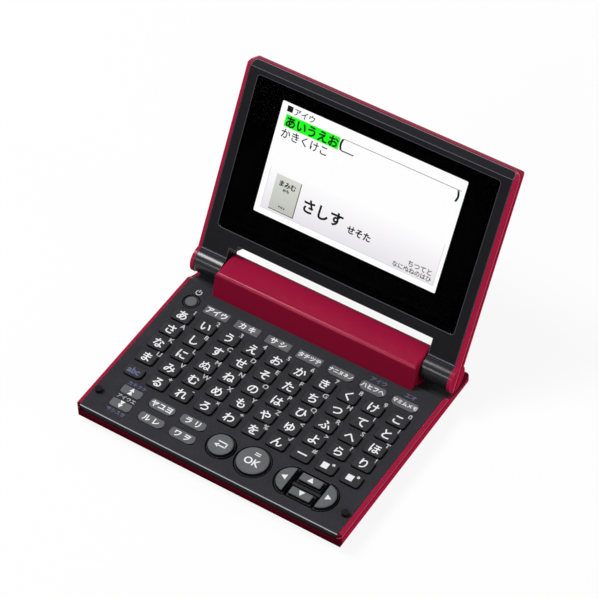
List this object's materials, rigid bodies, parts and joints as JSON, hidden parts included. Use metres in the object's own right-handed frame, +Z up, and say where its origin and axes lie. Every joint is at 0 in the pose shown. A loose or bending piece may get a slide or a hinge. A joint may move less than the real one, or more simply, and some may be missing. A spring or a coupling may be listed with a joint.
{
  "type": "electronic dictionary",
  "caption": "compact clamshell electronic dictionary with a hinged lid and colour display, syllable keyboard, cursor and round keys, and a battery barrel between the hinge knuckles",
  "frame": {"origin": "centre of the lower case's footprint, on the surface the feet stand on", "axes": "+X to the user's right along the hinge, +Y away from the user to the rear, +Z up; the lid stands open at 120 degrees"},
  "size_m": [0.109, 0.1193, 0.0816],
  "materials": {
    "case_red": "wine red lacquer with a fine metallic sheen over moulded plastic",
    "cover_dark": "charcoal moulded plastic with a fine grain",
    "key_dark": "charcoal key caps, satin",
    "key_grey": "mid grey key caps, satin",
    "inner_black": "plain black plastic",
    "cell_silver": "plain steel can of a dry cell",
    "contact_steel": "plated spring steel",
    "board_green": "green solder mask",
    "sheet_rubber": "translucent silicone rubber",
    "screw_steel": "zinc plated steel",
    "rubber_black": "black rubber",
    "hinge_steel": "ground steel",
    "sleeve_brass": "turned brass",
    "cable_film": "amber film cable",
    "lens_clear": "clear scratch-resistant acrylic",
    "mask_black": "black print behind the lens",
    "panel_glass": "colour display glass showing a light page",
    "backlight_white": "white light guide"
  },
  "bodies": {
    "base": {"lower_case": "case_red", "keyboard_cover": "cover_dark", "barrel_housing": "case_red", "battery_tray": "inner_black", "battery_cell": "cell_silver", "battery_spring": "contact_steel", "battery_contact": "contact_steel", "main_board": "board_green", "processor_chip": "inner_black", "key_sheet": "sheet_rubber", "case_screws": "screw_steel", "board_screws": "screw_steel", "feet": "rubber_black", "bumpers": "rubber_black", "hinge_shaft_left": "hinge_steel", "hinge_shaft_right": "hinge_steel", "hinge_bracket_left": "hinge_steel", "hinge_bracket_right": "hinge_steel", "cable_base": "cable_film"},
    "lid": {"lid_shell": "case_red", "lid_bezel": "cover_dark", "screen_lens": "lens_clear", "mask_film": "mask_black", "display_panel": "panel_glass", "backlight": "backlight_white", "lid_board": "board_green", "cable_lid": "cable_film", "hinge_sleeve_left": "sleeve_brass", "hinge_sleeve_right": "sleeve_brass", "lid_screws": "screw_steel"},
    "battery_door": {"battery_door": "case_red"},
    "power_key": {"power_key": "key_grey"},
    "function_key_1": {"function_key_1": "key_grey"},
    "function_key_2": {"function_key_2": "key_grey"},
    "function_key_3": {"function_key_3": "key_grey"},
    "function_key_4": {"function_key_4": "key_grey"},
    "function_key_5": {"function_key_5": "key_grey"},
    "function_key_6": {"function_key_6": "key_grey"},
    "function_key_7": {"function_key_7": "key_grey"},
    "page_up_key": {"page_up_key": "key_grey"},
    "page_down_key": {"page_down_key": "key_grey"},
    "oval_key_1": {"oval_key_1": "key_grey"},
    "oval_key_2": {"oval_key_2": "key_grey"},
    "oval_key_3": {"oval_key_3": "key_grey"},
    "oval_key_4": {"oval_key_4": "key_grey"},
    "back_key": {"back_key": "key_grey"},
    "enter_key": {"enter_key": "key_grey"},
    "cursor_left_key": {"cursor_left_key": "key_grey"},
    "cursor_right_key": {"cursor_right_key": "key_grey"},
    "cursor_up_key": {"cursor_up_key": "key_grey"},
    "cursor_down_key": {"cursor_down_key": "key_grey"},
    "symbol_key": {"symbol_key": "key_dark"},
    "syllable_row_1": {"syllable_row_1": "key_dark"},
    "syllable_row_2": {"syllable_row_2": "key_dark"},
    "syllable_row_3": {"syllable_row_3": "key_dark"},
    "syllable_row_4": {"syllable_row_4": "key_dark"},
    "syllable_row_5": {"syllable_row_5": "key_dark"}
  },
  "joints": [
    {"name": "lid_hinge", "type": "hinge", "parent": "base", "child": "lid", "pos_m": [0, 0.0335, 0.013], "axis": [1, 0, 0], "range_deg": [-30, 120]},
    {"name": "battery_door_slide", "type": "slide", "parent": "base", "child": "battery_door", "axis": [0, 1, 0], "range_m": [0, 0.016]},
    {"name": "power_key_press", "type": "slide", "parent": "base", "child": "power_key", "axis": [0, 0, -1], "range_m": [0, 0.0008], "stiffness_N_per_m": 1250, "springref_m": -0.0003},
    {"name": "function_key_1_press", "type": "slide", "parent": "base", "child": "function_key_1", "axis": [0, 0, -1], "range_m": [0, 0.0008], "stiffness_N_per_m": 1250, "springref_m": -0.0003},
    {"name": "function_key_2_press", "type": "slide", "parent": "base", "child": "function_key_2", "axis": [0, 0, -1], "range_m": [0, 0.0008], "stiffness_N_per_m": 1250, "springref_m": -0.0003},
    {"name": "function_key_3_press", "type": "slide", "parent": "base", "child": "function_key_3", "axis": [0, 0, -1], "range_m": [0, 0.0008], "stiffness_N_per_m": 1250, "springref_m": -0.0003},
    {"name": "function_key_4_press", "type": "slide", "parent": "base", "child": "function_key_4", "axis": [0, 0, -1], "range_m": [0, 0.0008], "stiffness_N_per_m": 1250, "springref_m": -0.0003},
    {"name": "function_key_5_press", "type": "slide", "parent": "base", "child": "function_key_5", "axis": [0, 0, -1], "range_m": [0, 0.0008], "stiffness_N_per_m": 1250, "springref_m": -0.0003},
    {"name": "function_key_6_press", "type": "slide", "parent": "base", "child": "function_key_6", "axis": [0, 0, -1], "range_m": [0, 0.0008], "stiffness_N_per_m": 1250, "springref_m": -0.0003},
    {"name": "function_key_7_press", "type": "slide", "parent": "base", "child": "function_key_7", "axis": [0, 0, -1], "range_m": [0, 0.0008], "stiffness_N_per_m": 1250, "springref_m": -0.0003},
    {"name": "page_up_key_press", "type": "slide", "parent": "base", "child": "page_up_key", "axis": [0, 0, -1], "range_m": [0, 0.0008], "stiffness_N_per_m": 1250, "springref_m": -0.0003},
    {"name": "page_down_key_press", "type": "slide", "parent": "base", "child": "page_down_key", "axis": [0, 0, -1], "range_m": [0, 0.0008], "stiffness_N_per_m": 1250, "springref_m": -0.0003},
    {"name": "oval_key_1_press", "type": "slide", "parent": "base", "child": "oval_key_1", "axis": [0, 0, -1], "range_m": [0, 0.0008], "stiffness_N_per_m": 1250, "springref_m": -0.0003},
    {"name": "oval_key_2_press", "type": "slide", "parent": "base", "child": "oval_key_2", "axis": [0, 0, -1], "range_m": [0, 0.0008], "stiffness_N_per_m": 1250, "springref_m": -0.0003},
    {"name": "oval_key_3_press", "type": "slide", "parent": "base", "child": "oval_key_3", "axis": [0, 0, -1], "range_m": [0, 0.0008], "stiffness_N_per_m": 1250, "springref_m": -0.0003},
    {"name": "oval_key_4_press", "type": "slide", "parent": "base", "child": "oval_key_4", "axis": [0, 0, -1], "range_m": [0, 0.0008], "stiffness_N_per_m": 1250, "springref_m": -0.0003},
    {"name": "back_key_press", "type": "slide", "parent": "base", "child": "back_key", "axis": [0, 0, -1], "range_m": [0, 0.0008], "stiffness_N_per_m": 1250, "springref_m": -0.0003},
    {"name": "enter_key_press", "type": "slide", "parent": "base", "child": "enter_key", "axis": [0, 0, -1], "range_m": [0, 0.0008], "stiffness_N_per_m": 1250, "springref_m": -0.0003},
    {"name": "cursor_left_key_press", "type": "slide", "parent": "base", "child": "cursor_left_key", "axis": [0, 0, -1], "range_m": [0, 0.0008], "stiffness_N_per_m": 1250, "springref_m": -0.0003},
    {"name": "cursor_right_key_press", "type": "slide", "parent": "base", "child": "cursor_right_key", "axis": [0, 0, -1], "range_m": [0, 0.0008], "stiffness_N_per_m": 1250, "springref_m": -0.0003},
    {"name": "cursor_up_key_press", "type": "slide", "parent": "base", "child": "cursor_up_key", "axis": [0, 0, -1], "range_m": [0, 0.0008], "stiffness_N_per_m": 1250, "springref_m": -0.0003},
    {"name": "cursor_down_key_press", "type": "slide", "parent": "base", "child": "cursor_down_key", "axis": [0, 0, -1], "range_m": [0, 0.0008], "stiffness_N_per_m": 1250, "springref_m": -0.0003},
    {"name": "symbol_key_press", "type": "slide", "parent": "base", "child": "symbol_key", "axis": [0, 0, -1], "range_m": [0, 0.0008], "stiffness_N_per_m": 1250, "springref_m": -0.0003},
    {"name": "syllable_row_1_press", "type": "slide", "parent": "base", "child": "syllable_row_1", "axis": [0, 0, -1], "range_m": [0, 0.0008], "stiffness_N_per_m": 1250, "springref_m": -0.0003},
    {"name": "syllable_row_2_press", "type": "slide", "parent": "base", "child": "syllable_row_2", "axis": [0, 0, -1], "range_m": [0, 0.0008], "stiffness_N_per_m": 1250, "springref_m": -0.0003},
    {"name": "syllable_row_3_press", "type": "slide", "parent": "base", "child": "syllable_row_3", "axis": [0, 0, -1], "range_m": [0, 0.0008], "stiffness_N_per_m": 1250, "springref_m": -0.0003},
    {"name": "syllable_row_4_press", "type": "slide", "parent": "base", "child": "syllable_row_4", "axis": [0, 0, -1], "range_m": [0, 0.0008], "stiffness_N_per_m": 1250, "springref_m": -0.0003},
    {"name": "syllable_row_5_press", "type": "slide", "parent": "base", "child": "syllable_row_5", "axis": [0, 0, -1], "range_m": [0, 0.0008], "stiffness_N_per_m": 1250, "springref_m": -0.0003}
  ]
}
